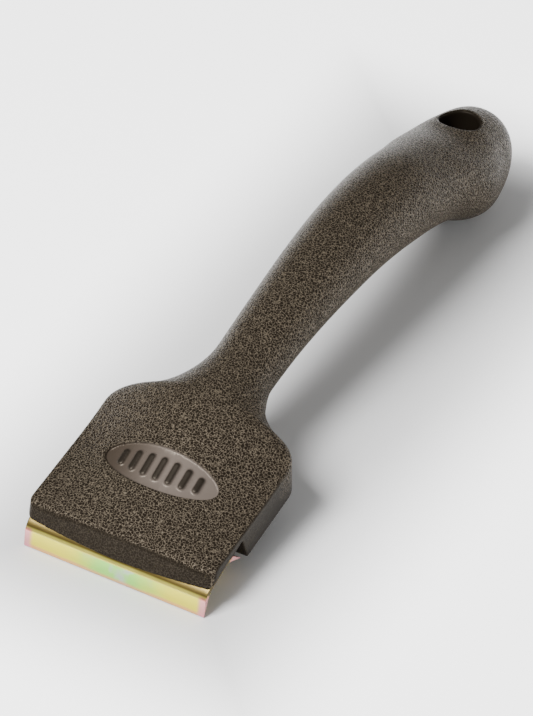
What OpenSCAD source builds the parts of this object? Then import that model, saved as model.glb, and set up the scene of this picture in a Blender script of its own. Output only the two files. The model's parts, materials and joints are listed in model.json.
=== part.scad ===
// Hand floor scraper: a moulded handle with a broad head, and a reversible
// two-edged hooked blade that one screw clamps under the head.
// The tool rests on the blade's front edge and on the butt of the handle.
// X runs across the blade, Y from the blade to the butt, Z up.

/* [Head] */
// Width of the head across the blade
head_w = 65.5; // [60:0.5:70]
// Length of the head's straight sides, from the blade's edge
head_side_l = 47.5; // [44:0.5:50]
// Radius of the rounded shoulders, in plan
shoulder_r = 8; // [7:0.5:12]
// Radius of the fillets from the shoulders into the neck, in plan
neck_fillet_r = 22.5; // [18:0.5:26]
// Radius of the head's front corners, in plan
front_corner_r = 2.5; // [2:0.5:5]
// Rounding along the head's upper side edges
edge_r = 0.7; // [0.5:0.1:2]
// How far the front face leans back, in degrees
front_lean = 16; // [10:1:20]
// Radius of the front face's gentle curve, in plan
front_curve_r = 450; // [300:50:600]
// Thickness of the side skirts and of the stop wall behind the blade
skirt_t = 3; // [2.5:0.5:4]
// Thickness of the ribs under the head
rib_t = 2.5; // [2:0.5:3]

/* [Handle] */
// Length from the blade's front edge to the end of the butt
overall_l = 237; // [230:1:245]
// Width of the neck
neck_w = 22; // [20:0.5:25]
// Length of the rounded end of the butt
butt_cap_l = 16.25; // [12:0.25:20]

/* [Hang hole] */
// Diameter of the hang hole
hole_d = 13.5; // [10:0.5:14]
// Where the hole's axis meets the top of the butt, from the blade's edge
hole_y = 216; // [210:1:220]
// Tilt of the hole's axis from vertical, in degrees
hole_tilt = 12; // [8:1:25]
// Width of the chamfer at the hole's upper mouth
hole_chamfer = 0.8; // [0.4:0.1:1.2]

/* [Blade] */
// Width of the blade, the length of each scraping edge
blade_w = 63.5; // [50:0.5:64]
// Distance between the two scraping edges
blade_span = 22.5; // [21:0.5:24]
// Height of the blade's back above the line through both edges
blade_rise = 7; // [6.5:0.1:7.5]
// Thickness of the blade
blade_t = 1.5; // [1:0.1:1.6]
// Outside radius of the blade's two bends
bend_r = 7.5; // [7:0.1:8]
// Width of the flat left on each scraping edge
edge_land = 0.1; // [0.05:0.05:0.3]
// Tilt of the line through both edges when the tool rests, in degrees
blade_tilt = 19; // [15:0.5:22]

/* [Clamp] */
// Length of the clamp plate along the blade
plate_w = 44; // [36:1:50]
// Thickness of the clamp plate
plate_t = 1.2; // [1:0.1:1.4]
// Outside diameter of the screw's thread
screw_d = 5; // [4:1:5]
// Diameter of the screw's pan head
screw_head_d = 9.5; // [8:0.5:9.5]
// Height of the screw's head
screw_head_h = 2.4; // [2:0.1:2.5]
// Thickness of the spring lock washer
washer_t = 1.1; // [0.9:0.1:1.2]
// Outside diameter of the spring lock washer
washer_d = 8.8; // [8:0.1:9]
// Outside diameter of the threaded insert
insert_d = 7; // [6:0.5:7.5]
// Length of the threaded insert
insert_l = 4; // [3:0.5:4]

/* [Badge] */
// Length of the oval badge recess across the head
badge_l = 39; // [34:1:42]
// Width of the oval badge recess
badge_w = 14; // [12:0.5:16]
// Distance of the badge's centre from the blade's edge
badge_y = 27; // [25:1:30]
// Depth of the badge recess at its centre
badge_depth = 1; // [0.6:0.1:1.4]

/* [Hidden] */
$fn = 72;

head_hw = head_w / 2;
neck_hw = neck_w / 2;

// Side view of the handle: heights of the top and of the underside above the
// table, at a few distances from the blade's edge
crown_line = [
    [0, 12.8], [27, 24.5], [50, 34], [75, 38], [95, 43], [120, 48], [145, 50.5],
    [170, 48.8], [190, 44], [205, 39.7], [216, 38.4], [226, 35.8], [overall_l, 34]
];
belly_line = [
    [0, 1.9], [25, 7], [45, 10.9], [60, 14.4], [75, 17.8], [95, 21.4], [120, 23.2],
    [145, 22.8], [170, 18.7], [190, 13.1], [205, 4.5], [217, 0], [230, 3.4], [overall_l, 4.5]
];
// Plan view of the handle: half of its width behind the neck
grip_line = [
    [60, neck_hw], [78, neck_hw], [100, 11.7], [130, 13.4], [160, 15],
    [185, 16.2], [205, 18.9], [225, 15.3], [overall_l + 10, 15.5]
];
// The head's side faces lie between two straight rising lines
side_rise = 0.17;
function side_top(y) = 13.4 + side_rise * y;
function side_bottom(y) = 1.65 + 0.2 * y;
side_land = 0.3;      // half of the flat along the handle's sides
crown_power = 1.3;    // how quickly the head's crown falls to its sides
top_blend_from = 26;  // the head's top starts to turn into the round handle here
low_blend_from = 54;  // the head's underside starts to turn here
cap_power = 2.2;      // how full the rounded end of the butt is
cap_lift = 2.5;       // how far the end of the butt rises above its middle height
stop_gap = 1.8;       // room between the blade's rear edge and the stop wall
lip_z = 6.1;          // the head's front lip ends here, above the blade's edges
side_gap = 0.6;       // gap above the blade at the head's two sides
fit_gap = 0.05;       // radial clearance of the screw in its insert
free_gap = 0.3;       // radial clearance of the screw in blade and plate
wall_t = 3;           // least wall over the pockets under the head

// The shoulder's convex arc runs on into the neck's concave arc
turn = acos(1 - (head_hw - neck_hw) / (shoulder_r + neck_fillet_r));
fillet_from = head_side_l + shoulder_r * sin(turn);
neck_from = fillet_from + neck_fillet_r * sin(turn);
cap_from = overall_l - butt_cap_l;

// A smooth curve through a list of [distance, value] points
function span_of(pts, x, i = 0) =
    i >= len(pts) - 2 || x < pts[i + 1][0] ? i : span_of(pts, x, i + 1);
function grade(pts, i) =
    let (a = max(i - 1, 0), b = min(i + 1, len(pts) - 1))
    (pts[b][1] - pts[a][1]) / (pts[b][0] - pts[a][0]);
function along(pts, x) =
    let (i = span_of(pts, x), h = pts[i + 1][0] - pts[i][0], t = (x - pts[i][0]) / h)
    (2 * t ^ 3 - 3 * t ^ 2 + 1) * pts[i][1]
    + (t ^ 3 - 2 * t ^ 2 + t) * h * grade(pts, i)
    + (3 * t ^ 2 - 2 * t ^ 3) * pts[i + 1][1]
    + (t ^ 3 - t ^ 2) * h * grade(pts, i + 1);
function ease(t) = (1 - cos(180 * min(max(t, 0), 1))) / 2;

// Stations of the handle's loft as [distance, half-width]
stations = concat(
    [for (y = [-1:6:41]) [y, head_hw]],
    [for (k = [0:6])
        let (a = turn * k / 6)
        [head_side_l + shoulder_r * sin(a), head_hw - shoulder_r * (1 - cos(a))]],
    [for (k = [1:8])
        let (a = turn * (1 - k / 8))
        [neck_from - neck_fillet_r * sin(a), neck_hw + neck_fillet_r * (1 - cos(a))]],
    [for (k = [1:20])
        let (y = neck_from + (cap_from - neck_from) * k / 20)
        [y, along(grip_line, y)]],
    [for (k = [1:6])
        let (y = cap_from + butt_cap_l * sin(88 * k / 6))
        [y, along(grip_line, y)]]
);

// One cross-section of the loft: across the top from +X to -X, then back below
half_n = 18;
function rounded_off(x, w) =
    let (d = max(abs(x) - (w - edge_r), 0))
    edge_r - sqrt(max(edge_r ^ 2 - d ^ 2, 0));
function section(y, w) =
    let (
        head = 1 - ease((y - top_blend_from) / (neck_from - top_blend_from)),
        flat = 1 - ease((y - low_blend_from) / (neck_from - low_blend_from)),
        crown = along(crown_line, y),
        belly = along(belly_line, y),
        mid = (crown + belly) / 2,
        end = max((y - cap_from) / butt_cap_l, 0),
        shrink = (1 - end ^ cap_power) ^ (1 / cap_power),
        level = mid + cap_lift * end ^ 2,
        top = head * side_top(y) + (1 - head) * (mid + side_land),
        low = flat * side_bottom(y) + (1 - flat) * (mid - side_land)
    )
    concat(
        [for (k = [0:half_n])
            let (
                a = 180 * k / half_n,
                x = w * cos(a),
                bump = pow(max(cos(90 * abs(cos(a))), 0), crown_power),
                z = top + (crown - top) * (head * bump + (1 - head) * sin(a))
                    - head * rounded_off(x, w)
            )
            [x * shrink, y, level + (z - mid) * shrink]],
        [for (k = [0:half_n])
            let (
                a = 180 * k / half_n,
                z = low + (belly - low) * (1 - flat) * sin(a)
            )
            [-w * cos(a) * shrink, y, level + (z - mid) * shrink]]
    );

module handle_loft() {
    ring = 2 * half_n + 2;
    far = (len(stations) - 1) * ring;
    points = [for (s = stations) each section(s[0], s[1])];
    walls = [
        for (i = [0:len(stations) - 2], j = [0:ring - 1])
            let (a = i * ring + j, b = i * ring + (j + 1) % ring)
            each [[a, b, a + ring], [b, b + ring, a + ring]]
    ];
    // Each end is closed by a strip between its upper and lower points
    ends = [
        for (k = [0:half_n - 1])
            let (a = k + 1, b = ring - 2 - k)
            each [
                [b, a, k], [b, k, b + 1],
                [far + k, far + a, far + b], [far + b + 1, far + k, far + b]
            ]
    ];
    polyhedron(points = points, faces = concat(walls, ends), convexity = 6);
}

// The blade's own frame: its front edge at the origin, X along the edge, Y to
// the other edge and Z away from the floor
module in_blade_frame() {
    rotate([blade_tilt, 0, 0])
        children();
}
screw_at = blade_span / 2;
bend_z = blade_rise - bend_r;
bend_in = 8;

// Draws a side view, given as [distance, height], across the width w
module across(w) {
    translate([-w / 2, 0, 0])
        rotate([90, 0, 90])
        linear_extrude(w)
        children();
}

// The room below a bent strip of width w: an arch with bends of radius r, on two
// straight legs that reach the edges' level a distance foot in from the edges
module arch(w, r, foot) {
    leg_x = bend_in - (r - 0.05) * cos(45);
    leg_z = bend_z + (r - 0.05) * cos(45);
    under_top = bend_z + 0.9 * r;
    low_x = foot - (leg_x - foot) / leg_z;
    for (x = [bend_in, blade_span - bend_in])
        across(w)
            translate([x, bend_z])
            circle(r);
    across(w)
        translate([bend_in, bend_z])
        square([blade_span - 2 * bend_in, r]);
    across(w)
        polygon([
            [low_x, -1],
            [leg_x, leg_z],
            [bend_in, under_top],
            [blade_span - bend_in, under_top],
            [blade_span - leg_x, leg_z],
            [blade_span - low_x, -1]
        ]);
}

// The room of width w between the two ground bevels, above the edges' level
module between_bevels(w) {
    bevel_x = bend_in - bend_r * cos(45);
    bevel_z = bend_z + bend_r * cos(45);
    across(w)
        polygon([
            [0, 0],
            [2 * bevel_x, 2 * bevel_z],
            [blade_span - 2 * bevel_x, 2 * bevel_z],
            [blade_span, 0]
        ]);
}

// The room of width w between two slanting faces that rise from the bends
module above_bends(w, slope) {
    reach = 20;
    across(w)
        polygon([
            [bend_in, bend_z],
            [bend_in - reach, bend_z + reach * slope],
            [blade_span - bend_in + reach, bend_z + reach * slope],
            [blade_span - bend_in, bend_z]
        ]);
}

module screw_hole(r, low, high) {
    translate([0, screw_at, low])
        cylinder(h = high - low, r = r);
}

module blade() {
    color("#d9c36a")
    in_blade_frame()
    difference() {
        intersection() {
            arch(blade_w, bend_r, -0.5);
            between_bevels(blade_w + 2);
        }
        arch(blade_w + 2, bend_r - blade_t, edge_land);
        screw_hole(screw_d / 2 + free_gap, 0, blade_rise + 1);
    }
}

plate_top = blade_rise - blade_t;
plate_low = plate_top - plate_t;
washer_low = plate_low - washer_t;
head_low = washer_low - screw_head_h;

module clamp_plate() {
    color("#9a9a94")
    in_blade_frame()
    difference() {
        intersection() {
            arch(plate_w, bend_r - blade_t, 0);
            above_bends(plate_w + 2, 1.2);
        }
        arch(plate_w + 2, bend_r - blade_t - plate_t, 0);
        screw_hole(screw_d / 2 + free_gap, 0, blade_rise);
        screw_hole(washer_d / 2 + free_gap, 0, plate_low);
    }
}

// A sprung ring, split at the front
module lock_washer() {
    split = 1;
    color("#8d8d8a")
    in_blade_frame()
    difference() {
        screw_hole(washer_d / 2, washer_low, plate_low);
        screw_hole(screw_d / 2 + free_gap, washer_low - 1, plate_low + 1);
        translate([-split / 2, screw_at - washer_d, washer_low - 1])
            cube([split, washer_d, washer_t + 2]);
    }
}

// Pan head with a straight slot, and a shank that ends just short of the
// insert's far end
module clamp_screw() {
    shank_end = blade_rise + insert_l - 0.2;
    crown_h = 0.9;
    slot = [1.2, 1.1];
    color("#b9b7ae")
    in_blade_frame()
    difference() {
        union() {
            screw_hole(screw_d / 2, washer_low - 0.5, shank_end);
            screw_hole(screw_head_d / 2, head_low + crown_h, washer_low);
            translate([0, screw_at, head_low])
                cylinder(h = crown_h, r1 = screw_head_d / 2 - 1.2, r2 = screw_head_d / 2);
        }
        translate([-screw_head_d, screw_at - slot[0] / 2, head_low - 1])
            cube([2 * screw_head_d, slot[0], slot[1] + 1]);
    }
}

// A brass sleeve moulded into the head, with a groove round its middle
module threaded_insert() {
    groove_w = 1;
    groove_depth = 0.5;
    color("#c9a24b")
    in_blade_frame()
    translate([0, screw_at, blade_rise])
    rotate_extrude()
    difference() {
        translate([screw_d / 2 + fit_gap, 0])
            square([(insert_d - screw_d) / 2 - fit_gap, insert_l]);
        translate([insert_d / 2 - groove_depth, (insert_l - groove_w) / 2])
            square([groove_depth + 1, groove_w]);
    }
}

// The room for the blade: open at both sides and below, flat on top, with a
// round front corner over the blade's bend and a stop wall behind its rear edge
module blade_bay() {
    far = head_w + 10;
    low = -20;
    corner_r = bend_r + free_gap;
    turn_from = acos(bend_r / corner_r);
    turn_to = acos((lip_z - bend_z) / corner_r);
    steps = 4;
    side_gap_w = 4;
    side_gap_to = 17;
    in_blade_frame() {
        across(far)
            polygon(concat(
                [[blade_span + stop_gap, blade_rise], [blade_span + stop_gap, low], [low, low]],
                [[low, lip_z]],
                [for (k = [0:steps])
                    let (a = turn_to + (turn_from - turn_to) * k / steps)
                    [bend_in - corner_r * sin(a), bend_z + corner_r * cos(a)]]
            ));
        for (s = [-1, 1])
            translate([s * head_hw - side_gap_w, bend_in, blade_rise - 1])
                cube([2 * side_gap_w, side_gap_to - bend_in, 1 + side_gap]);
        screw_hole(insert_d / 2, 0, blade_rise + insert_l + 0.3);
    }
}

// Everything in front of the leaning, gently curved front face and its corners
module front_trim() {
    reach = 80;
    bow = 0.55;
    meet = 20;        // the corners' arcs meet the front and the sides at this angle
    corner_in = front_corner_r * cos(meet);
    corner_x = head_hw - corner_in;
    corner_y = front_curve_r - bow - sqrt(front_curve_r ^ 2 - corner_x ^ 2) + corner_in;
    rotate([-front_lean, 0, 0]) {
        difference() {
            translate([-reach / 2, -reach, -reach / 4])
                cube([reach, reach + 8, reach]);
            translate([0, front_curve_r - bow, -reach])
                cylinder(h = 3 * reach, r = front_curve_r, $fn = 360);
        }
        for (s = [-1, 1])
            translate([s * corner_x, corner_y, -reach / 4])
            difference() {
                translate([s > 0 ? 0 : -reach / 4, -reach / 4, 0])
                    cube([reach / 4, reach / 4, reach]);
                translate([0, 0, -1])
                    cylinder(h = reach + 2, r = front_corner_r);
            }
    }
}

// Three open pockets under the head, with two ribs between them
module underside_pockets() {
    from = (blade_span + stop_gap) * cos(blade_tilt) + skirt_t + 1;
    side_to = head_side_l + 1;
    mid_to = head_side_l + 8;
    mid_hw = 9;
    inner = head_hw - skirt_t;
    translate([0, 0, side_top(0) - wall_t])
    rotate([atan(side_rise), 0, 0])
    for (s = [-1, 1]) {
        translate([s > 0 ? mid_hw + rib_t : -inner, from, -30])
            cube([inner - mid_hw - rib_t, side_to - from, 30]);
        translate([-mid_hw, from, -30])
            cube([2 * mid_hw, mid_to - from, 34]);
    }
}

// The hang hole, square to the top of the butt
module hang_hole() {
    translate([0, hole_y, along(crown_line, hole_y)])
    rotate([-hole_tilt, 0, 0]) {
        translate([0, 0, -60])
            cylinder(h = 80, d = hole_d);
        translate([0, 0, -hole_chamfer])
            cylinder(h = 3, d1 = hole_d, d2 = hole_d + 6);
    }
}

// The badge's oval recess: its floor arches across the head and slopes along it
module badge_recess() {
    slope = atan((along(crown_line, badge_y + 5) - along(crown_line, badge_y - 5)) / 10);
    flank = 7;
    floor_r = 36;
    sides = 60;
    translate([0, badge_y, along(crown_line, badge_y) - badge_depth])
    rotate([slope, 0, 0])
    difference() {
        translate([0, 0, -flank])
            linear_extrude(20)
            polygon([
                for (k = [0:sides - 1])
                    let (a = 360 * (k + 0.5) / sides)
                    [badge_l / 2 * cos(a), badge_w / 2 * sin(a)]
            ]);
        translate([0, badge_w, -floor_r])
            rotate([90, 0, 0])
            cylinder(h = 2 * badge_w, r = floor_r, $fn = 180);
    }
}

module handle() {
    color("#3d372e")
    difference() {
        handle_loft();
        front_trim();
        blade_bay();
        underside_pockets();
        hang_hole();
        badge_recess();
    }
}

// The origin lies on the table, midway along the tool
module placed() {
    translate([0, -overall_l / 2, 0])
        children();
}

placed() handle();
placed() threaded_insert();
placed() blade();
placed() clamp_plate();
placed() lock_washer();
placed() clamp_screw();
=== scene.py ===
import json
import math
import bmesh
import bpy
import numpy as np
from mathutils import Matrix, Vector


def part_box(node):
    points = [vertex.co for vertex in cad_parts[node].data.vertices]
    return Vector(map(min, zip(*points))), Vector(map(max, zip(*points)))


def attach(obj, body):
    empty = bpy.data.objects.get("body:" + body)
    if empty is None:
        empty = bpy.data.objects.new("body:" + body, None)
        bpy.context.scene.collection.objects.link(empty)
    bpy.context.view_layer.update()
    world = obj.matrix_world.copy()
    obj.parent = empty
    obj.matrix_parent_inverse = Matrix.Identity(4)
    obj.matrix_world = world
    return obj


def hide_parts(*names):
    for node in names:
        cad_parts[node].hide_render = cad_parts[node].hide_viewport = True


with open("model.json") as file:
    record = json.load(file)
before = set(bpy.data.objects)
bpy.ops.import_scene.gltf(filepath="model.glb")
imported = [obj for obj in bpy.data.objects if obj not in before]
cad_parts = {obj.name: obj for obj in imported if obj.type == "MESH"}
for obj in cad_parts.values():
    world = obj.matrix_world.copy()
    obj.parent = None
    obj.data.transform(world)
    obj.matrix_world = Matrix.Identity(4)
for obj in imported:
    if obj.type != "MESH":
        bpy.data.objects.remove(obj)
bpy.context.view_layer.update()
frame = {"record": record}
record = frame["record"]

# All shapes below are worked out in millimetres in the "edge frame": X along the blade, Y back from
# the blade's front edge, Z up from the floor. to_row() turns them into the row frame's metres.
MM = 0.001
EDGE_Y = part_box("blade")[0][1]
LENGTH = (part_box("handle")[1][1] - EDGE_Y) / MM
HEAD_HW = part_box("handle")[1][0] / MM
BLADE_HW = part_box("blade")[1][0] / MM
PLATE_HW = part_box("clamp_plate")[1][0] / MM

joints = {j["name"]: j for j in record["behaviour"]["joints"]}
DROP = joints["clamp_drop"]["axis"]
TILT = math.atan2(DROP[1], -DROP[2])
hang = next(m for m in record["mounts"] if m["name"] == "hang_hole")
HOLE_R = hang["dims"]["r_mm"]
HOLE_AXIS = hang["axis"]
HOLE_Y = hang["pos_m"][1] / MM - EDGE_Y / MM
HOLE_Z = hang["pos_m"][2] / MM

# The blade's section, in its own frame of u (from the front edge back) and v (away from the floor). Each
# bend is an arc of BEND_R about (BEND_U, BEND_V), and the screw stands at the middle of the span. The clamp
# plate's bends are about the same points, and end PLATE_REACH degrees from the vertical.
SPAN, BLADE_T = 22.5, 1.5
BEND_U, BEND_V, BEND_R = 8.0, -0.5, 7.5
BLADE_TOP = BEND_V + BEND_R
LEG_U, LEG_V = 2.7, 4.8
LEG_L = math.hypot(LEG_U, LEG_V)
PLATE_R, PLATE_T, PLATE_REACH = 6.0, 1.2, 39.8
SCREW_U, SCREW_HOLE_R = SPAN / 2, 2.8
SHARP_DEG = 34


def to_row(points):
    """Points of the edge frame, in millimetres, as points of the row frame, in metres."""
    p = np.asarray(points, float) * MM
    p[:, 1] += EDGE_Y
    return p


def from_blade(x, u, v):
    """Points of the blade's own frame as points of the edge frame."""
    x, u, v = np.broadcast_arrays(np.asarray(x, float), u, v)
    y = u * math.cos(TILT) - v * math.sin(TILT)
    z = u * math.sin(TILT) + v * math.cos(TILT)
    return np.stack([x, y, z], -1)


def to_blade(y, z):
    """u and v in the blade's own frame of a point of the edge frame."""
    return y * math.cos(TILT) + z * math.sin(TILT), -y * math.sin(TILT) + z * math.cos(TILT)


# ---------------------------------------------------------------- the handle's form

# Plan: straight head sides, a shoulder arc, a fillet arc into the neck, and a rounded end cap.
SIDE_L, SHOULDER_R, FILLET_R, NECK_HW = 47.5, 8.0, 22.5, 11.0
CAP_L, CAP_POWER, CAP_LIFT = 16.25, 2.2, 2.5
# The head's flat side runs between two lines, each given by its height at y = 0 and its rise. It fades out
# from TOP_BLEND above and LOW_BLEND below, up to the neck.
SIDE_TOP, SIDE_LOW = (13.4, 0.17), (1.65, 0.2)
TOP_BLEND, LOW_BLEND = 26.0, 54.0
CORNER_R, EDGE_R = 1.6, 0.7
# The front face leans back and is a wide arc in plan, whose middle stands FRONT_BOW ahead of y = 0.
LEAN, FRONT_R, FRONT_BOW = math.radians(16), 450.0, 0.55
CROWN = [(0, 12.8), (27, 24.5), (50, 34), (75, 38), (95, 43), (120, 48), (145, 50.3), (170, 48.8),
         (190, 44), (205, 39.7), (216, 38.4), (226, 35.8), (LENGTH, 34)]
BELLY = [(0, 1.9), (25, 7), (45, 10.9), (60, 14.4), (75, 17.8), (95, 21.4), (120, 23.2), (145, 22.8),
         (170, 18.7), (190, 13.1), (205, 4.5), (217, 0.1), (230, 3.4), (LENGTH, 4.5)]
GRIP = [(60, NECK_HW), (78, NECK_HW), (100, 11.7), (130, 13.4), (160, 15), (185, 16.2), (205, 18.9),
        (225, 15.3), (LENGTH + 10, 15.5)]


def curve(points, x):
    """A smooth curve through [distance, value] points."""
    pts = np.array(points, float)
    ks, vs = pts[:, 0], pts[:, 1]
    x = np.clip(x, ks[0], ks[-1])
    i = np.clip(np.searchsorted(ks, x, side="right") - 1, 0, len(ks) - 2)
    h = ks[i + 1] - ks[i]
    t = (x - ks[i]) / h

    def slope(j):
        a, b = np.clip(j - 1, 0, len(ks) - 1), np.clip(j + 1, 0, len(ks) - 1)
        return (vs[b] - vs[a]) / (ks[b] - ks[a])

    return ((2 * t**3 - 3 * t**2 + 1) * vs[i] + (t**3 - 2 * t**2 + t) * slope(i) * h
            + (3 * t**2 - 2 * t**3) * vs[i + 1] + (t**3 - t**2) * slope(i + 1) * h)


def smooth(t):
    t = np.clip(t, 0, 1)
    return t * t * (3 - 2 * t)


TURN = math.acos(1 - (HEAD_HW - NECK_HW) / (SHOULDER_R + FILLET_R))
FILLET_FROM = SIDE_L + SHOULDER_R * math.sin(TURN)
NECK_FROM = FILLET_FROM + FILLET_R * math.sin(TURN)
CAP_FROM = LENGTH - CAP_L
SIDE_HALF = 0.15


def half_width(y):
    """Half of the handle's width in plan."""
    if y < SIDE_L:
        return HEAD_HW
    if y < FILLET_FROM:
        return HEAD_HW - SHOULDER_R + math.sqrt(SHOULDER_R**2 - (y - SIDE_L)**2)
    if y < NECK_FROM:
        return NECK_HW + FILLET_R - math.sqrt(FILLET_R**2 - (NECK_FROM - y)**2)
    return float(curve(GRIP, y))


def profile(y, t):
    """Top and underside heights of the section at y, at shares t of its half-width, and the half-width."""
    w = half_width(y)
    head, flat = ((1 + math.cos(math.pi * min(max((y - a) / (NECK_FROM - a), 0), 1))) / 2
                  for a in (TOP_BLEND, LOW_BLEND))
    crown, belly = float(curve(CROWN, y)), float(curve(BELLY, y))
    mid = (crown + belly) / 2
    end = min(max((y - CAP_FROM) / CAP_L, 0), 0.9995)
    shrink = (1 - end**CAP_POWER) ** (1 / CAP_POWER)
    side_top = head * (SIDE_TOP[0] + SIDE_TOP[1] * y) + (1 - head) * (mid + SIDE_HALF)
    side_low = flat * (SIDE_LOW[0] + SIDE_LOW[1] * y) + (1 - flat) * (mid - SIDE_HALF)
    round_side = np.sqrt(np.maximum(1 - t**2, 0))
    bump = np.maximum(np.cos(math.pi / 2 * t), 0) ** 1.3
    d = np.maximum(t * w - (w - EDGE_R), 0)
    top = (side_top + (crown - side_top) * (head * bump + (1 - head) * round_side)
           - head * (EDGE_R - np.sqrt(np.maximum(EDGE_R**2 - d**2, 0))))
    low = side_low + (belly - side_low) * (1 - flat) * round_side
    level = mid + CAP_LIFT * end**2
    return level + (top - mid) * shrink, level + (low - mid) * shrink, w * shrink


FAR = 4.0


def loft_field(X, Y, Z):
    """Signed distance to the loft, section by section, over the half x >= 0 of a grid, up to FAR away."""
    ta = np.sin(np.linspace(0, math.pi / 2, 56))
    px, pz = (g.astype(np.float32) for g in np.meshgrid(X, Z, indexing="ij"))
    field = np.empty((len(X), len(Y), len(Z)), np.float32)
    for j, y in enumerate(Y):
        y = min(y, LENGTH - 0.002)
        top, low, w = profile(y, ta)
        ring = np.concatenate([np.stack([ta * w, top], 1), np.stack([ta * w, low], 1)[::-1]])
        ring = ring.astype(np.float32)
        near = (px < w + FAR) & (pz > low.min() - FAR) & (pz < top.max() + FAR)
        qx, qz = px[near][:, None], pz[near][:, None]
        p, q = ring[:-1], ring[1:]
        e = q - p
        size = np.maximum((e**2).sum(1), 1e-9)
        s = np.clip(((qx - p[:, 0]) * e[:, 0] + (qz - p[:, 1]) * e[:, 1]) / size, 0, 1)
        d = np.sqrt(((qx - p[:, 0] - s * e[:, 0])**2 + (qz - p[:, 1] - s * e[:, 1])**2).min(1))
        tt, tl, _ = profile(y, np.clip(qx[:, 0] / w, 0, 1))
        inside = (qx[:, 0] < w) & (qz[:, 0] < tt) & (qz[:, 0] > tl)
        plane = np.full(px.shape, FAR, np.float32)
        plane[near] = np.where(inside, -d, d)
        field[:, j, :] = plane
    return field


def meet(a, b, r):
    """Where two shapes overlap, with the edge between them rounded to radius r."""
    return np.minimum(-r, np.maximum(a, b)) + np.hypot(np.maximum(a + r, 0), np.maximum(b + r, 0))


def join(a, b, r):
    """Both shapes as one, with the corner between them filled to radius r."""
    return -meet(-a, -b, r)


def cut(a, b, r):
    """The first shape without the second, with the new edge rounded to radius r."""
    return meet(a, -b, r)


BADGE_Y, BADGE_L, BADGE_W, BADGE_DEPTH = 27.0, 39.0, 14.0, 1.0
BADGE_Z = float(curve(CROWN, BADGE_Y))
BADGE_SLOPE = math.atan(float(curve(CROWN, BADGE_Y + 5) - curve(CROWN, BADGE_Y - 5)) / 10)
BADGE_BAR_H, BADGE_OVER_Z = 0.65, 14.0


def up_badge(y, z):
    """Distance up the sloping badge from its centre."""
    return (y - BADGE_Y) * math.cos(BADGE_SLOPE) + (z - BADGE_Z) * math.sin(BADGE_SLOPE)


def badge_oval(x, s):
    """Distance outside the badge's oval, about."""
    a, b = BADGE_L / 2, BADGE_W / 2
    k = np.sqrt((x / a)**2 + (s / b)**2) + 1e-6
    slope = np.sqrt((x / a**2)**2 + (s / b**2)**2) / k + 1e-3
    return (k - 1) / slope


def badge_bars(x, s):
    """The badge's motif: seven plain bars, shorter towards the ends. 1 on a bar, 0 beside it."""
    pitch, bar_r, half_l, row_l, blur = 4.4, 1.1, 4.1, 18.5, 0.8
    n = np.clip(np.round(x / pitch), -3, 3)
    tall = half_l * np.sqrt(np.maximum(1 - (n * pitch / row_l)**2, 0.05))
    outside = np.hypot(np.abs(x - n * pitch), np.maximum(np.abs(s) - tall + bar_r, 0)) - bar_r
    return smooth(0.5 - outside / blur)


LIP_V, LIP_TO, STOP_U = 6.1, 6.0, 24.3
BEND_GAP, SIDE_GAP, SIDE_GAP_FROM, SIDE_GAP_TO = 0.3, 0.6, 28.75, 17.0


def bay_field(x, y, z):
    """The room that the blade sits in, up to the stop wall, with a slot over the blade at each side."""
    u, v = to_blade(y, z)
    corner = np.hypot(u - BEND_U, v - BEND_V) - (BEND_R + BEND_GAP)
    room = np.minimum(np.minimum(corner, v - LIP_V), np.maximum(v - BLADE_TOP, LIP_TO - u))
    slot = np.maximum(v - (BLADE_TOP + SIDE_GAP), np.maximum(BEND_U - u, u - SIDE_GAP_TO))
    slot = np.maximum(slot, SIDE_GAP_FROM - np.abs(x))
    return np.maximum(np.minimum(room, slot), u - STOP_U)


def hole_field(x, y, z):
    """The hang hole's cylinder."""
    side = (y - HOLE_Y) * HOLE_AXIS[2] - (z - HOLE_Z) * HOLE_AXIS[1]
    return np.hypot(x, side) - HOLE_R


def box_field(p, low, high, r):
    """Signed distance to a box with rounded corners."""
    q = [np.maximum(lo + r - c, c - (hi - r)) for c, lo, hi in zip(p, low, high)]
    out = np.sqrt(sum(np.maximum(c, 0)**2 for c in q))
    return out + np.minimum(np.maximum(np.maximum(q[0], q[1]), q[2]), 0) - r


POCKET_ROOF, POCKET_R, POCKET_DRAFT = 3.0, 1.2, 0.03
SIDE_POCKET = (11.5, 27, -30), (29.75, 48.5, 0)
MIDDLE_POCKET = (-9, 27, -30), (9, 55.5, 3.6)


def pocket_field(x, y, z):
    """The hollows under the head's right half, with their roofs parallel to the head's top edge."""
    rise, base = math.atan(SIDE_TOP[1]), SIDE_TOP[0] - POCKET_ROOF
    along = y * math.cos(rise) + (z - base) * math.sin(rise)
    up = -y * math.sin(rise) + (z - base) * math.cos(rise)
    place = (x + POCKET_DRAFT * up, along, up)
    return np.minimum(box_field(place, *SIDE_POCKET, POCKET_R), box_field(place, *MIDDLE_POCKET, POCKET_R))


def front_field(x, y, z):
    """Positive in front of the leaning front face."""
    arc = FRONT_R - FRONT_BOW - np.sqrt(FRONT_R**2 - x**2)
    return arc - (y * math.cos(LEAN) - z * math.sin(LEAN))


# Radii of the handle's edges: the badge's rim and floor, the blade's bay, the pockets and the hang hole. The
# front face's edge has its own at the middle and gains more towards the corners.
RIM_R, FLOOR_R, BAY_R, POCKET_EDGE, HOLE_EDGE = 0.25, 0.12, 0.3, 0.5, 1.1
FRONT_EDGE, FRONT_EDGE_MORE, FRONT_MORE_FROM, FRONT_MORE_OVER = 0.8, 1.4, 6, 22
# The pockets are cut only ahead of the one, and the hang hole only behind the other.
HEAD_PART, BUTT_PART = 75, 190


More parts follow.
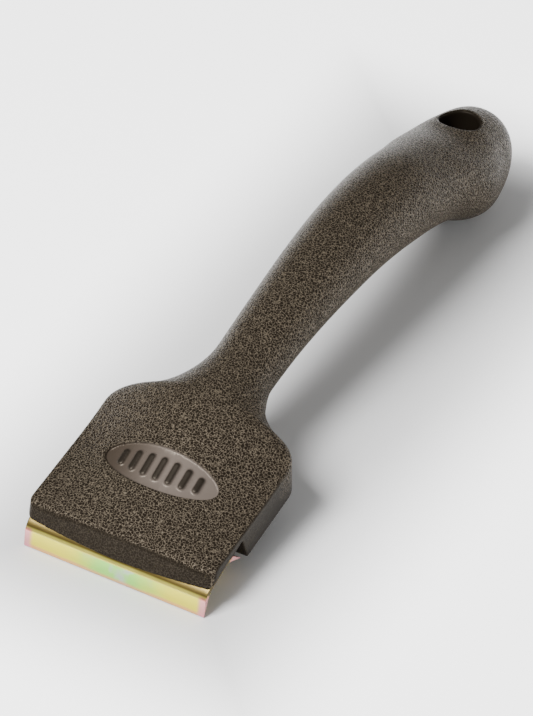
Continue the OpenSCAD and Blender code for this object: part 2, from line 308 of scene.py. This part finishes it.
def handle_field(X, Y, Z):
    """Signed distance to the whole handle over the half x >= 0 of a grid."""
    f = loft_field(X, Y, Z)
    x, y, z = X[:, None, None], Y[None, :, None], Z[None, None, :]
    front = front_field(x, y, z)
    f = meet(f, front, FRONT_EDGE + FRONT_EDGE_MORE * smooth((x - FRONT_MORE_FROM) / FRONT_MORE_OVER))
    f = np.maximum(f, meet(front, np.broadcast_to(x - HEAD_HW, front.shape), CORNER_R))
    across = np.broadcast_to(x, f.shape)
    along = np.broadcast_to(up_badge(y, z), f.shape)
    near = (np.abs(along) < BADGE_W / 2 + 2) & (across < BADGE_L / 2 + 1.5)
    near = near & (f > -3 * BADGE_DEPTH) & (z > BADGE_OVER_Z)
    across, along = across[near], along[near]
    depth = BADGE_DEPTH - BADGE_BAR_H * badge_bars(across, along)
    f[near] = join(meet(f[near], -badge_oval(across, along), RIM_R), f[near] + depth, FLOOR_R)
    f = cut(f, bay_field(x, y, z), BAY_R)
    part = Y < HEAD_PART
    f[:, part] = cut(f[:, part], pocket_field(x, y[:, part], z), POCKET_EDGE)
    back = Y > BUTT_PART
    f[:, back] = cut(f[:, back], hole_field(x, y[:, back], z), HOLE_EDGE)
    return f


def surface_net(F, axes):
    """A quad mesh on the zero level of F, one vertex in each cell that the surface crosses."""
    S = F < 0
    corners = sum(S[a:a + F.shape[0] - 1, b:b + F.shape[1] - 1, c:c + F.shape[2] - 1].astype(np.int8)
                  for a in (0, 1) for b in (0, 1) for c in (0, 1))
    active = (corners > 0) & (corners < 8)
    cells = np.argwhere(active)
    number = np.full(active.shape, -1, np.int32)
    number[active] = np.arange(len(cells))
    total, count = np.zeros((len(cells), 3)), np.zeros(len(cells))
    for axis in range(3):
        others = [k for k in range(3) if k != axis]
        for d1 in (0, 1):
            for d2 in (0, 1):
                a = cells.copy()
                a[:, others[0]] += d1
                a[:, others[1]] += d2
                b = a.copy()
                b[:, axis] += 1
                fa, fb = F[tuple(a.T)], F[tuple(b.T)]
                m = (fa < 0) != (fb < 0)
                t = np.where(m, fa / np.where(m, fa - fb, 1), 0)
                p = np.stack([axes[k][a[:, k]] for k in range(3)], 1)
                p[:, axis] += t * (axes[axis][b[:, axis]] - axes[axis][a[:, axis]])
                total[m] += p[m]
                count[m] += 1
    verts = total / count[:, None]
    quads = []
    for axis in range(3):
        b, c = (axis + 1) % 3, (axis + 2) % 3
        low, high = [slice(1, -1)] * 3, [slice(1, -1)] * 3
        low[axis], high[axis] = slice(0, -1), slice(1, None)
        cross = S[tuple(low)] != S[tuple(high)]
        at = np.argwhere(cross)
        for k in (b, c):
            at[:, k] += 1
        ring = []
        for db, dc in ((-1, -1), (0, -1), (0, 0), (-1, 0)):
            p = at.copy()
            p[:, b] += db
            p[:, c] += dc
            ring.append(number[tuple(p.T)])
        q = np.stack(ring, 1)
        inside = S[tuple(at.T)]
        quads.append(np.where(inside[:, None], q, q[:, ::-1]))
    return verts, np.concatenate(quads)


def sampled(F, axes, p):
    """F and its gradient at the points p, by trilinear interpolation."""
    lo, part, step = [], [], []
    for k in range(3):
        i = np.clip(np.searchsorted(axes[k], p[:, k], side="right") - 1, 0, len(axes[k]) - 2)
        h = axes[k][i + 1] - axes[k][i]
        lo.append(i)
        step.append(h)
        part.append((p[:, k] - axes[k][i]) / h)
    value, grad = 0, [0, 0, 0]
    for a in (0, 1):
        for b in (0, 1):
            for c in (0, 1):
                f = F[lo[0] + a, lo[1] + b, lo[2] + c]
                w = [part[k] if d else 1 - part[k] for k, d in enumerate((a, b, c))]
                sign = [1 if d else -1 for d in (a, b, c)]
                value = value + f * w[0] * w[1] * w[2]
                grad[0] = grad[0] + f * sign[0] * w[1] * w[2] / step[0]
                grad[1] = grad[1] + f * sign[1] * w[0] * w[2] / step[1]
                grad[2] = grad[2] + f * sign[2] * w[0] * w[1] / step[2]
    return value, np.stack(grad, 1)


def relaxed(verts, quads, F, axes, rounds=3):
    """Evens the net out, then puts each vertex back on the surface."""
    for _ in range(rounds):
        total, count = np.zeros_like(verts), np.zeros(len(verts))
        for k in range(4):
            a, b = quads[:, k], quads[:, (k + 1) % 4]
            for i in range(3):
                total[:, i] += np.bincount(a, verts[b, i], len(verts))
                total[:, i] += np.bincount(b, verts[a, i], len(verts))
            count += np.bincount(a, minlength=len(verts)) + np.bincount(b, minlength=len(verts))
        verts = verts + 0.5 * (total / count[:, None] - verts)
        value, grad = sampled(F, axes, verts)
        size = np.maximum((grad**2).sum(1), 0.3)
        shift = np.clip(value / size, -0.3, 0.3)
        verts = verts - shift[:, None] * grad
    return verts


# ---------------------------------------------------------------- making pieces

def mesh_of(name, verts, faces):
    mesh = bpy.data.meshes.new(name)
    mesh.from_pydata(np.asarray(verts).tolist(), [], [list(map(int, f)) for f in faces])
    return mesh


def placed(name, mesh):
    obj = bpy.data.objects.new(name, mesh)
    bpy.context.collection.objects.link(obj)
    return obj


def piece(name, verts, faces, body, node, sharp=None):
    """A visible piece that rides on a body and stands in for a CAD node. sharp is in degrees."""
    mesh = mesh_of(name, verts, faces)
    mesh.validate()
    mesh.shade_smooth()
    if sharp:
        mesh.set_sharp_from_angle(angle=math.radians(sharp))
    obj = placed(name, mesh)
    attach(obj, body)
    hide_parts(node)
    return obj


def thinned(verts, quads, most):
    """The same surface in at most so many triangles, kept dense where it curves."""
    mesh = mesh_of("dense", verts, quads)
    obj = placed("dense", mesh)
    thin = obj.modifiers.new("thin", "DECIMATE")
    thin.ratio = most / (2 * len(quads))
    graph = bpy.context.evaluated_depsgraph_get()
    light = bpy.data.meshes.new_from_object(obj.evaluated_get(graph), depsgraph=graph)
    out = np.empty(3 * len(light.vertices))
    light.vertices.foreach_get("co", out)
    faces = [tuple(f.vertices) for f in light.polygons]
    bpy.data.objects.remove(obj)
    bpy.data.meshes.remove(mesh)
    bpy.data.meshes.remove(light)
    return out.reshape(-1, 3), faces


def attribute(obj, name, values):
    """A number at each vertex, for the piece's material to read."""
    layer = obj.data.attributes.new(name, "FLOAT", "POINT")
    layer.data.foreach_set("value", np.asarray(values, np.float32))


def grid_faces(rows, cols, close_rows=False, close_cols=False):
    """The quads between vertices that stand in rows and columns."""
    out = []
    for i in range(rows if close_rows else rows - 1):
        for j in range(cols if close_cols else cols - 1):
            a, b = i * cols + j, i * cols + (j + 1) % cols
            c, d = ((i + 1) % rows) * cols + (j + 1) % cols, ((i + 1) % rows) * cols + j
            out.append((a, b, c, d))
    return out


def rounded_box(low, high, r, steps=3):
    """A rectangle's outline, anticlockwise from its low corner, with its corners rounded to radius r."""
    centres = [(low[0] + r, low[1] + r), (high[0] - r, low[1] + r),
               (high[0] - r, high[1] - r), (low[0] + r, high[1] - r)]
    out = []
    for i, centre in enumerate(centres):
        for a in np.linspace(math.pi + i * math.pi / 2, 1.5 * math.pi + i * math.pi / 2, steps + 1):
            out.append((centre[0] + r * math.cos(a), centre[1] + r * math.sin(a)))
    return np.array(out)


LEG_STOP, EDGE_FLAT = 45, 0.12


def strip_outline(r_out, thick, reach=None):
    """The bent strip's upper and lower outlines from front to rear, as [u, v]. reach is the angle at which
    the bends end, in degrees from the vertical, for a strip without legs."""
    stop = math.radians(LEG_STOP if reach is None else reach)

    def bend(r, points):
        return [(BEND_U - r * math.sin(a), BEND_V + r * math.cos(a)) for a in np.linspace(stop, 0, points)]

    front, inner = bend(r_out, 13), bend(r_out - thick, 11)
    if reach is None:
        front = [(0.0, 0.0)] + front
        inner = [(EDGE_FLAT, 0.0)] + inner
    outer = front + [(SPAN - u, v) for u, v in reversed(front)]
    under = inner + [(SPAN - u, v) for u, v in reversed(inner)]
    return np.array(outer), np.array(under)


def strip(name, half_w, outlines, chamfer, body, node):
    """A bent strip with a round hole in its middle, and slightly rounded ends."""
    outer, under = outlines
    stations, shoulder, shoulder_in, taper = 61, 0.35, 0.3, 0.16
    xs = np.concatenate([[-half_w, -half_w + chamfer * shoulder],
                         np.linspace(-half_w + chamfer, half_w - chamfer, stations),
                         [half_w - chamfer * shoulder, half_w]])
    inset = np.concatenate([[chamfer, chamfer * shoulder_in], np.zeros(stations),
                            [chamfer * shoulder_in, chamfer]])
    loop = np.concatenate([outer, under[::-1]])
    nxt, prv = np.roll(loop, -1, 0), np.roll(loop, 1, 0)
    way = nxt - prv
    normal = np.stack([-way[:, 1], way[:, 0]], 1) / np.linalg.norm(way, axis=1)[:, None]
    rows = []
    for x, d in zip(xs, inset):
        q = loop - normal * d * taper
        q[:, 1] = np.maximum(q[:, 1], 0)
        q[:, 0] = np.clip(q[:, 0], 0, SPAN)
        rows.append(from_blade(x, q[:, 0], q[:, 1]))
    verts = to_row(np.concatenate(rows))
    faces = [f[::-1] for f in grid_faces(len(xs), len(loop), close_cols=True)]
    last = (len(xs) - 1) * len(loop)
    below = [len(loop) - 1 - round(k * (len(under) - 1) / (len(outer) - 1)) for k in range(len(outer))]
    for k, (low_a, low_b) in enumerate(zip(below, below[1:])):
        quad = [k, low_a, low_b, k + 1] if low_a != low_b else [k, low_a, k + 1]
        faces.append(quad[::-1])
        faces.append([last + q for q in quad])
    obj = piece(name, verts, faces, body, node, sharp=SHARP_DEG)
    drill(obj)
    return obj


def drill(obj):
    """Takes the screw's hole out of a strip."""
    sides, low, high = 64, -2.0, 14.0
    rows = [around_screw(SCREW_HOLE_R, circle(sides), v) for v in (low, high)]
    faces = grid_faces(2, sides, close_cols=True)
    faces += [tuple(range(sides))[::-1], tuple(range(sides, 2 * sides))]
    apply_cut(obj, placed("drill", mesh_of("drill", to_row(np.concatenate(rows)), faces)))


def circle(sides):
    """Angles around a full turn."""
    return np.linspace(0, 2 * math.pi, sides, endpoint=False)


def around_screw(r, angle, v):
    """Points of the edge frame at radius r about the screw's axis."""
    return from_blade(r * np.cos(angle), SCREW_U + r * np.sin(angle), v)


def face_outwards(mesh):
    """Turns every face's front side outwards, as the boolean cut needs."""
    work = bmesh.new()
    work.from_mesh(mesh)
    bmesh.ops.recalc_face_normals(work, faces=work.faces)
    work.to_mesh(mesh)
    work.free()


def apply_cut(obj, tool):
    """Takes the tool's shape out of the piece, for good, and removes the tool."""
    face_outwards(obj.data)
    face_outwards(tool.data)
    mod = obj.modifiers.new("cut", "BOOLEAN")
    mod.operation, mod.object, mod.solver = "DIFFERENCE", tool, "EXACT"
    bpy.context.view_layer.update()
    evaluated = obj.evaluated_get(bpy.context.evaluated_depsgraph_get())
    mesh = bpy.data.meshes.new_from_object(evaluated)
    obj.modifiers.clear()
    old, obj.data = obj.data, mesh
    bpy.data.meshes.remove(old)
    bpy.data.objects.remove(tool)
    mesh.set_sharp_from_angle(angle=math.radians(SHARP_DEG))


def turned(name, outline, wave, sides, body, node, sharp=SHARP_DEG):
    """A piece turned about the screw's axis from its outline of [radius, v]. wave(angle, r, v) gives the
    radius that the outline's radius becomes there."""
    pts = np.array(outline, float)
    r = np.repeat(pts[:, 0][:, None], sides, 1)
    v = np.repeat(pts[:, 1][:, None], sides, 1)
    t = np.repeat(circle(sides)[None, :], len(pts), 0)
    verts = to_row(around_screw(wave(t, r, v), t, v).reshape(-1, 3))
    faces = grid_faces(len(pts), sides, close_rows=True, close_cols=True)
    return piece(name, verts, faces, body, node, sharp=sharp)


# ---------------------------------------------------------------- the pieces

def handle_grid():
    """The grid that the handle's form is worked out on, finest at the front and low down, where its edges
    are. X holds only the half x >= 0."""
    coarse, plain, fine, finest = 0.75, 0.4, 0.27, 0.25
    front_end, head_end, low_end, high_end = 8, 62, 18, 52.4
    half = np.arange(0, HEAD_HW + 4 * plain, plain)
    Y = np.concatenate([np.arange(-plain, front_end, finest), np.arange(front_end, head_end, plain),
                        np.arange(head_end, LENGTH + 2 * coarse, coarse)])
    Z = np.concatenate([np.arange(-2 * plain, low_end, fine), np.arange(low_end, high_end, plain)])
    return half, Y, Z


def build_handle():
    half, Y, Z = handle_grid()
    right = handle_field(half, Y, Z)
    F = np.concatenate([right[:0:-1], right])
    axes = (np.concatenate([-half[:0:-1], half]), Y, Z)
    verts, quads = surface_net(F, axes)
    verts, faces = thinned(relaxed(verts, quads, F, axes), quads, most=190_000)
    low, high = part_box("handle")
    row = np.clip(to_row(verts), np.array(low), np.array(high))
    obj = piece("handle_body", row, faces, "handle", "handle")
    mark_surfaces(obj, *verts.T)
    return obj


def near_surface(field, reach, fade):
    """0 beyond the reach of a surface, 1 once nearer to it by fade."""
    return smooth((reach - np.abs(field)) / fade)


def mark_surfaces(obj, x, y, z):
    """How grained each vertex is, and how far it belongs to the badge and to the badge's floor. The front,
    the head's sides and its underside are plain or nearly so, as are the walls that were cut. The pocket
    field holds for x > 0, so the left pocket's walls keep their grain."""
    bay_end, pocket_end, hole_from, side_end, badge_low = 30, 62, 195, 47, 18
    on_front = smooth((front_field(x, y, z) + 0.5) / 0.3)
    under = smooth((y * math.sin(TILT) * 1.1 + 2.6 - z * 0.98) / 3) * smooth((60 - y) / 8)
    in_bay = near_surface(bay_field(x, y, z), 0.25, 0.1) * (y < bay_end)
    in_pocket = near_surface(pocket_field(x, y, z), 0.4, 0.2) * (y < pocket_end)
    in_hole = smooth((1.0 - hole_field(x, y, z)) / 0.6) * (y > hole_from)
    on_side = smooth((np.abs(x) - HEAD_HW + 0.5) / 0.3) * smooth((side_end - y) / 6)
    up = up_badge(y, z)
    on_badge = smooth(-badge_oval(x, up) / 0.3 + 0.6) * (z > badge_low)
    plain = np.maximum.reduce([0.8 * on_front, in_bay, in_pocket, in_hole, on_badge, 0.85 * on_side, under])
    attribute(obj, "grain", 1 - np.clip(plain, 0, 1))
    attribute(obj, "badge_floor", on_badge * (1 - badge_bars(x, up)))
    attribute(obj, "badge_all", on_badge)


def build_blade():
    outlines = strip_outline(BEND_R, BLADE_T)
    return strip("blade_strip", BLADE_HW, outlines, 0.25, "blade", "blade")


def mark_blade(obj):
    """Each vertex's distance along the blade's outside from its nearer edge, in millimetres."""
    co = np.array([v.co for v in obj.data.vertices]) / MM
    u, v = to_blade(co[:, 1] - EDGE_Y / MM, co[:, 2])
    u = np.minimum(u, SPAN - u)
    stop = math.radians(LEG_STOP)
    angle = np.arctan2(v - BEND_V, BEND_U - u)
    bend = LEG_L + (np.clip(angle, stop, math.pi / 2) - stop) * BEND_R
    above_leg = np.where(u > BEND_U, bend + (u - BEND_U), bend)
    attribute(obj, "from_edge", np.where(v < LEG_V, v * LEG_L / LEG_V, above_leg))


def build_plate():
    outlines = strip_outline(PLATE_R, PLATE_T, PLATE_REACH)
    return strip("clamp_plate_strip", PLATE_HW, outlines, 0.35, "clamp", "clamp_plate")


def build_washer():
    """A split ring of square section."""
    r_in, r_out, low, high, edge_r = 2.8, 4.4, 3.2, 4.3, 0.15
    turns, gap = 72, math.radians(13)
    section = rounded_box((r_in, low), (r_out, high), edge_r)
    rows = [around_screw(section[:, 0], a, section[:, 1])
            for a in np.linspace(-math.pi / 2 + gap / 2, 1.5 * math.pi - gap / 2, turns)]
    m = len(section)
    faces = [f[::-1] for f in grid_faces(turns, m, close_cols=True)]
    faces += [tuple(range(m)), tuple(range((turns - 1) * m, turns * m))[::-1]]
    return piece("spring_washer", to_row(np.concatenate(rows)), faces, "clamp", "lock_washer",
                 sharp=SHARP_DEG)


def build_screw():
    """Slotted pan head and a rolled thread."""
    pitch, crest, root, axis_r = 0.8, 2.5, 2.05, 0.02
    thread_from, thread_to = 4.2, 10.25
    head = [(axis_r, 0.8), (2.4, 0.82), (3.4, 0.92), (4.1, 1.18), (4.55, 1.6), (4.75, 2.15), (4.75, 2.9),
            (4.68, 3.1), (4.5, 3.2), (2.75, 3.2), (crest, 3.3)]
    shank = [(crest, v) for v in (thread_from, *np.arange(thread_from + 0.2, thread_to, pitch / 10))]
    tip = [(crest, thread_to), (2.2, 10.6), (1.9, 10.8), (axis_r, 10.8)]

    def thread(t, r, v):
        turn = (v / pitch + t / (2 * math.pi)) % 1
        depth = (crest - root) * (1 - np.abs(2 * turn - 1))
        on_shank = (np.abs(r - crest) < 0.1) * (v < thread_to - 0.01)
        return r - depth * smooth((v - thread_from) / 0.6) * on_shank

    outline = head + shank + tip
    obj = turned("screw_body", outline, thread, 72, "screw", "clamp_screw", sharp=50)
    half_slot, far, slot_low, slot_high = 0.6, 6.0, -1.0, 1.9
    pts = [from_blade(x, SCREW_U + s, v) for v in (slot_low, slot_high)
           for x, s in ((-far, -half_slot), (far, -half_slot), (far, half_slot), (-far, half_slot))]
    faces = [(3, 2, 1, 0), (4, 5, 6, 7), (0, 1, 5, 4), (1, 2, 6, 5), (2, 3, 7, 6), (3, 0, 4, 7)]
    apply_cut(obj, placed("slot_tool", mesh_of("slot_tool", to_row(np.array(pts)), faces)))
    return obj


def build_insert():
    """The brass sleeve, knurled above and below its groove."""
    r_in, r_groove, r_out = 2.55, 3.0, 3.5
    low, high, inner_edge, outer_edge = 7.0, 11.0, 0.15, 0.3
    knurls, knurl_depth = 24, 0.12
    outline = [(r_in, low + 0.15), (r_in + inner_edge, low), (r_out - outer_edge, low), (r_out, low + 0.25)]
    outline += [(r_out, v) for v in np.linspace(7.3, 8.45, 6)]
    outline += [(r_groove, 8.55), (r_groove, 9.45)]
    outline += [(r_out, v) for v in np.linspace(9.55, 10.7, 6)]
    outline += [(r_out, high - 0.25), (r_out - outer_edge, high)]
    outline += [(r_in + inner_edge, high), (r_in, high - 0.15)]

    def knurl(t, r, v):
        return r - knurl_depth * (r > r_out - 0.1) * (0.5 + 0.5 * np.cos(knurls * t))

    return turned("brass_sleeve", outline, knurl, 144, "handle", "threaded_insert")


# ---------------------------------------------------------------- materials

class Nodes:
    """A small helper that builds a material's node tree line by line."""

    def __init__(self, name):
        self.material = bpy.data.materials.new(name)
        self.material.use_nodes = True
        self.tree = self.material.node_tree
        self.shader = self.tree.nodes["Principled BSDF"]

    def add(self, kind, **given):
        node = self.tree.nodes.new(kind)
        for key, value in given.items():
            setattr(node, key, value)
        return node

    def link(self, a, b):
        self.tree.links.new(a, b)

    def put(self, value, socket):
        """Links a socket to another, or sets it to a number or a colour."""
        if isinstance(value, bpy.types.NodeSocket):
            self.link(value, socket)
        else:
            socket.default_value = value

    def surface(self, **given):
        """Sets the shader's inputs, with _ for each space in their names."""
        for name, value in given.items():
            self.put(value, self.shader.inputs[name.replace("_", " ")])

    def attribute(self, name):
        return self.add("ShaderNodeAttribute", attribute_name=name).outputs["Fac"]

    def coords(self):
        return self.add("ShaderNodeTexCoord").outputs["Object"]

    def axis(self, vector, name):
        """One coordinate of a vector."""
        node = self.add("ShaderNodeSeparateXYZ")
        self.link(vector, node.inputs[0])
        return node.outputs[name]

    def math(self, op, a, b=0.0):
        node = self.add("ShaderNodeMath", operation=op)
        self.put(a, node.inputs[0])
        self.put(b, node.inputs[1])
        return node.outputs[0]

    def plus(self, a, b):
        return self.math("ADD", a, b)

    def minus(self, a, b):
        return self.math("SUBTRACT", a, b)

    def times(self, a, b):
        return self.math("MULTIPLY", a, b)

    def between(self, value, low, high):
        """0 below low, 1 above high, smooth between."""
        node = self.add("ShaderNodeMapRange", interpolation_type="SMOOTHSTEP")
        self.put(value, node.inputs["Value"])
        node.inputs["From Min"].default_value = low
        node.inputs["From Max"].default_value = high
        return node.outputs["Result"]

    def noise(self, vector, scale, detail=3.0, rough=0.5):
        node = self.add("ShaderNodeTexNoise")
        self.link(vector, node.inputs["Vector"])
        node.inputs["Scale"].default_value = scale
        node.inputs["Detail"].default_value = detail
        node.inputs["Roughness"].default_value = rough
        return node.outputs["Fac"]

    def wobbled(self, vector, scale, reach):
        """The vector moved about by noise, so that what follows it isn't regular."""
        noise = self.add("ShaderNodeTexNoise")
        self.link(vector, noise.inputs["Vector"])
        noise.inputs["Scale"].default_value = scale
        node = self.add("ShaderNodeVectorMath", operation="MULTIPLY_ADD")
        self.link(noise.outputs["Color"], node.inputs[0])
        node.inputs[1].default_value = (reach,) * 3
        self.link(vector, node.inputs[2])
        return node.outputs[0]

    def stretched(self, vector, scale):
        node = self.add("ShaderNodeMapping")
        self.link(vector, node.inputs["Vector"])
        node.inputs["Scale"].default_value = scale
        return node.outputs[0]

    def cell_depth(self, vector, scale):
        """How far inside its cell a point lies, from 0 on the edges between cells."""
        node = self.add("ShaderNodeTexVoronoi", feature="DISTANCE_TO_EDGE")
        self.link(vector, node.inputs["Vector"])
        node.inputs["Scale"].default_value = scale
        return node.outputs["Distance"]

    def mix(self, factor, a, b):
        """Colour a at 0 and colour b at 1."""
        node = self.add("ShaderNodeMix", data_type="RGBA")
        self.put(factor, node.inputs[0])
        for value, socket in ((a, node.inputs[6]), (b, node.inputs[7])):
            self.put(value if isinstance(value, bpy.types.NodeSocket) else (*value, 1.0), socket)
        return node.outputs[2]

    def bump(self, height, distance, strength=1.0, under=None):
        node = self.add("ShaderNodeBump")
        self.link(height, node.inputs["Height"])
        node.inputs["Distance"].default_value = distance
        self.put(strength, node.inputs["Strength"])
        if under:
            self.link(under, node.inputs["Normal"])
        return node.outputs["Normal"]


def plastic_material():
    """Dark brown plastic moulded with a leather grain: dark pebbles with broken rims between them, the rims
    lightened as painted highlights.
    """
    plain_dark, plain_light = (0.008, 0.006, 0.004), (0.012, 0.009, 0.006)
    # The second colour of this pair is a painted highlight, for the light rims between the pebbles.
    pebble_dark, painted_rim_glint = (0.016, 0.0124, 0.0085), (0.142, 0.116, 0.083)
    # Painted shade and a painted reflection on the badge's floor: darker towards its left end, lighter
    # towards its right.
    badge_painted_shade, badge_painted_reflection = (0.050, 0.038, 0.028), (0.150, 0.123, 0.104)
    shade_until_x, reflection_from_x = -0.018, 0.006
    pebbles_per_m, grain_depth, fine_depth = 1120, 0.00026, 0.00006
    m = Nodes("grained_plastic")
    p = m.coords()
    grain, floor, badge = (m.attribute(name) for name in ("grain", "badge_floor", "badge_all"))
    q = m.wobbled(p, 500, 0.0006)
    inward = m.cell_depth(q, pebbles_per_m)
    crease = m.noise(q, 1500, 2.0, 0.6)
    fine = m.noise(p, 2600, 2.0, 0.6)

    height = m.plus(m.times(m.between(inward, 0.0, 0.34), 0.6), m.times(crease, 0.65))
    fine_strength = m.minus(0.28, m.times(badge, 0.22))
    normal = m.bump(fine, fine_depth, fine_strength, m.bump(height, grain_depth, grain))

    # The light, broken rims between the pebbles are painted highlights, standing in for light caught on the
    # pebbles' edges.
    rim = m.times(m.minus(1.0, m.between(inward, 0.02, 0.20)), m.between(fine, 0.34, 0.64))
    plain = m.mix(m.noise(p, 28, 3.0, 0.5), plain_dark, plain_light)
    moulded = m.mix(grain, plain, m.mix(rim, pebble_dark, painted_rim_glint))
    # The badge floor runs from painted shade at its left to a painted reflection at its right.
    badge_shade_to_reflection = m.mix(m.between(m.axis(p, "X"), shade_until_x, reflection_from_x), badge_painted_shade, badge_painted_reflection)

    rough = m.minus(m.plus(m.times(grain, -0.05), 0.40), m.times(floor, 0.10))
    rough = m.plus(rough, m.times(m.minus(crease, 0.5), 0.12))
    hollow = m.times(m.minus(1.0, rim), m.times(grain, 0.18))
    shine = m.plus(m.plus(m.times(grain, 0.12), m.times(badge, 0.22)), 0.09)
    m.surface(Base_Color=m.mix(floor, moulded, badge_shade_to_reflection), Roughness=rough, Normal=normal,
              Specular_IOR_Level=m.minus(shine, hollow), Specular_Tint=(1.0, 0.86, 0.70, 1.0))
    return m.material


def chromate_material():
    """Yellow chromate on zinc: thin-film colours that follow the blade's length and its edges, with a
    painted shadow where the blade runs under the head's front and a darker top that is partly painted shade.
    """
    green, gold, haze_grey = (0.35, 0.74, 0.15), (0.82, 0.74, 0.06), (0.47, 0.57, 0.45)
    edge_rose, end_pink, end_red = (0.74, 0.36, 0.20), (0.76, 0.28, 0.40), (0.72, 0.26, 0.20)
    # In this row, the second colour is a painted shadow and the third is partly painted shade.
    bend_yellow, painted_contact_shadow, bronze_top_and_shade = (0.74, 0.66, 0.13), (0.05, 0.022, 0.010), (0.40, 0.27, 0.10)
    m = Nodes("yellow_chromate")
    p = m.coords()
    x = m.axis(p, "X")
    drift = m.times(m.minus(m.noise(p, 95, 3.0, 0.55), 0.5), 0.010)
    off_centre = m.math("ABSOLUTE", m.plus(m.plus(x, drift), -0.001))
    edge = m.attribute("from_edge")
    haze = m.noise(p, 160, 2.0, 0.5)

    body = m.mix(m.between(off_centre, 0.004, 0.020), green, gold)
    centre = m.minus(1.0, m.between(off_centre, 0.006, 0.016))
    body = m.mix(m.times(m.between(haze, 0.50, 0.66), centre), body, haze_grey)
    by_edge = m.minus(1.0, m.between(m.plus(edge, m.times(drift, 110)), 0.35, 1.5))
    body = m.mix(m.times(by_edge, 0.85), body, edge_rose)
    by_end = m.between(m.math("ABSOLUTE", m.plus(x, m.times(drift, 0.25))), 0.0287, 0.0306)
    by_end = m.times(by_end, m.minus(1.0, m.between(edge, 5.8, 7.0)))
    body = m.mix(m.times(by_end, 0.85), body, end_pink)
    body = m.mix(m.between(edge, 5.3, 5.7), body, m.mix(by_end, bend_yellow, end_red))
    # Painted shadow: a dark band where the blade's top runs in under the head's front.
    body = m.mix(m.times(m.between(edge, 6.3, 7.1), 0.9), body, painted_contact_shadow)
    # The middle of the blade's top turns a darker bronze: partly the chromate's tint, partly painted shade
    # for where it lies under the head.
    body = m.mix(m.between(edge, 11.0, 13.0), body, bronze_top_and_shade)

    brushed = m.noise(m.stretched(p, (1.0, 14.0, 14.0)), 420, 2.0, 0.6)
    m.surface(Base_Color=body, Metallic=0.85, Roughness=m.plus(m.times(haze, 0.16), 0.24),
              Normal=m.bump(brushed, 0.00002, 0.35))
    return m.material


def metal_material(name, low, high, rough, scale):
    """Bare or plated metal in patches between two colours."""
    m = Nodes(name)
    p = m.coords()
    patch = m.noise(p, scale, 3.0, 0.55)
    m.surface(Base_Color=m.mix(patch, low, high), Metallic=1.0, Roughness=m.plus(m.times(patch, 0.2), rough),
              Normal=m.bump(m.noise(p, 3500, 2.0, 0.6), 0.00001, 0.4))
    return m.material


# ---------------------------------------------------------------- the studio

def pale_floor():
    """A plain floor. It glows away from the tool, to read as white without lighting the tool's hollows; the
    patch round the tool that doesn't glow reads as a painted soft shadow.
    """
    half_w, half_l, fade, glow = 0.03, 0.115, 0.06, 2.6
    bpy.ops.mesh.primitive_plane_add(size=6, location=(0, 0, -0.0003))
    obj = bpy.context.object
    obj.name = "floor"
    m = Nodes("pale_floor")
    p = m.coords()
    beside = m.minus(m.math("ABSOLUTE", m.axis(p, "X")), half_w)
    beyond = m.minus(m.math("ABSOLUTE", m.axis(p, "Y")), half_l)
    # No glow near the tool: the darker patch there is a painted soft shadow, and the glow beyond it is
    # painted light.
    away = m.between(m.math("MAXIMUM", beside, beyond), 0.0, fade)
    m.surface(Base_Color=m.mix(m.noise(p, 3, 2.0, 0.5), (0.93, 0.93, 0.93), (0.95, 0.95, 0.95)),
              Emission_Color=(1, 1, 1, 1), Emission_Strength=m.times(away, glow), Roughness=0.8)
    obj.data.materials.append(m.material)


def soft_light(name, place, target, size, power):
    data = bpy.data.lights.new(name, "AREA")
    data.shape, data.size, data.size_y = "RECTANGLE", size, size
    data.energy = power
    obj = placed(name, data)
    obj.location = place
    obj.rotation_euler = (Vector(target) - Vector(place)).to_track_quat("-Z", "Y").to_euler()


def studio():
    """Soft light from above the blade end, a weak one from behind, and a dim white surrounding."""
    world = bpy.data.worlds.new("studio")
    bpy.context.scene.world = world
    world.use_nodes = True
    sky = world.node_tree.nodes["Background"].inputs
    sky["Color"].default_value, sky["Strength"].default_value = (1, 1, 1, 1), 0.28
    soft_light("key", (-0.25, -0.55, 0.80), (0, -0.05, 0.02), 0.4, 15)
    soft_light("rim", (0.80, 0.60, 0.25), (0, 0.1, 0.03), 0.3, 2.2)


def photo_camera():
    """The photo's viewing angle: a long lens from above the blade end, to the tool's right."""
    turn, lift, roll, tip = (math.radians(a) for a in (31.5, 40.7, -1.46, 2.3))
    distance, lens = 1100, 185.8
    back = Vector((math.sin(turn) * math.cos(lift), -math.cos(turn) * math.cos(lift), math.sin(lift)))
    side = Vector((math.cos(turn), math.sin(turn), 0))
    up = back.cross(side)
    right = side * math.cos(roll) + up * math.sin(roll)
    up = -side * math.sin(roll) + up * math.cos(roll)
    tilt = Matrix.Rotation(tip, 3, "X")
    right, up, back = tilt @ right, tilt @ up, tilt @ back
    aim = tilt @ Vector((18.92, 60.0, 50.52))
    place = (aim + back * distance) * MM + Vector((0, EDGE_Y, 0))
    data = bpy.data.cameras.new("camera")
    data.lens = lens
    obj = placed("camera", data)
    obj.matrix_world = Matrix.Translation(place) @ Matrix((right, up, back)).transposed().to_4x4()
    bpy.context.scene.camera = obj


# ---------------------------------------------------------------- the whole

handle, blade = build_handle(), build_blade()
mark_blade(blade)
plate, washer, screw, sleeve = build_plate(), build_washer(), build_screw(), build_insert()

handle.data.materials.append(plastic_material())
blade.data.materials.append(chromate_material())
zinc = metal_material("bright_zinc", (0.48, 0.49, 0.50), (0.62, 0.62, 0.60), 0.26, 300)
for obj in (plate, washer, screw):
    obj.data.materials.append(zinc)
sleeve.data.materials.append(metal_material("brass", (0.62, 0.42, 0.14), (0.78, 0.57, 0.26), 0.25, 400))

pale_floor()
studio()
photo_camera()
